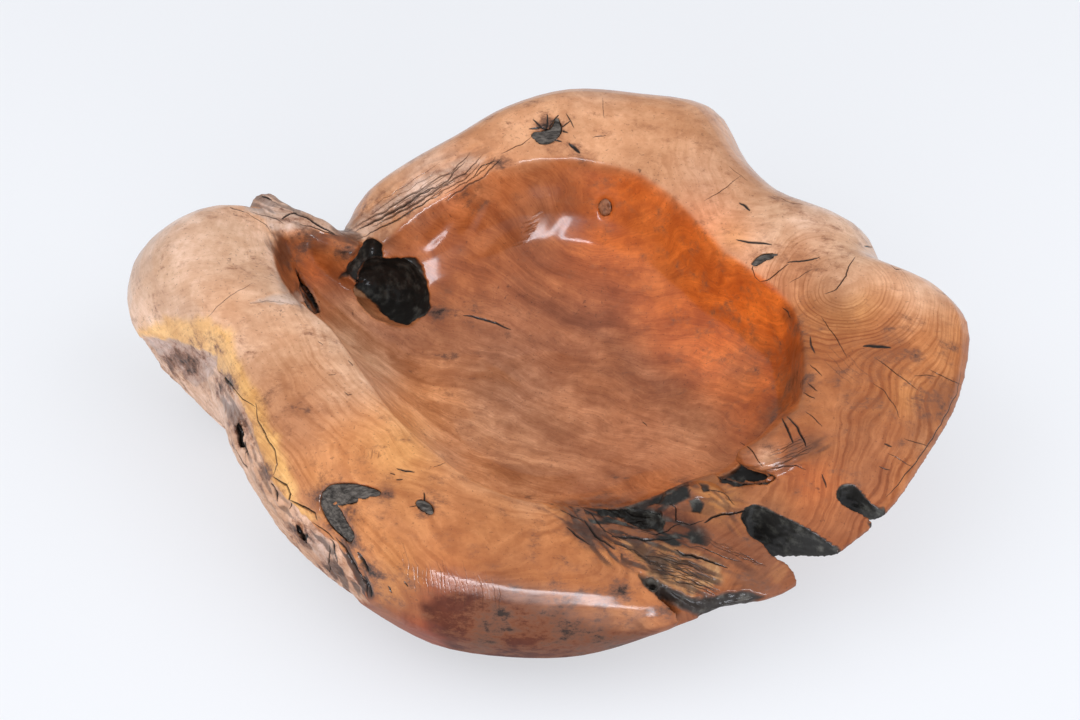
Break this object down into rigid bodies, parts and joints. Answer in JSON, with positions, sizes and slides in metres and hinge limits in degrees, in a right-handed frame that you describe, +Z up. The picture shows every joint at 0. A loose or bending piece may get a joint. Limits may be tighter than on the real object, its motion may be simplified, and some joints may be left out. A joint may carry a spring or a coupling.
{
  "type": "freeform root bowl",
  "caption": "Wide irregular bowl hollowed from one swollen root burr, with lobed natural rim, horn, through notches and bark pockets, resting on a flat base",
  "frame": {"origin": "middle of the flat base, on the surface the bowl stands on", "axes": "+Z up out of the hollow, +X along the long side towards the thin-edged right lobe, +Y towards the high back lobe, so the low lip faces -Y"},
  "size_m": [0.7025, 0.5589, 0.193],
  "materials": {
    "polished_root_wood": "hand-polished reddish brown root wood with a soft gloss, golden sapwood and charred clefts",
    "knot_wood": "dark dense knot, polished flush with the wall",
    "trapped_bark": "matt grey-black trapped bark and dead wood, slightly sunk"
  },
  "bodies": {
    "root": {"bowl_body": "polished_root_wood", "encased_knot": "knot_wood", "bark_pocket_front_rim": "trapped_bark", "bark_pocket_front_small": "trapped_bark", "bark_pocket_back_rim": "trapped_bark", "bark_pocket_right_rim": "trapped_bark"}
  },
  "joints": []
}
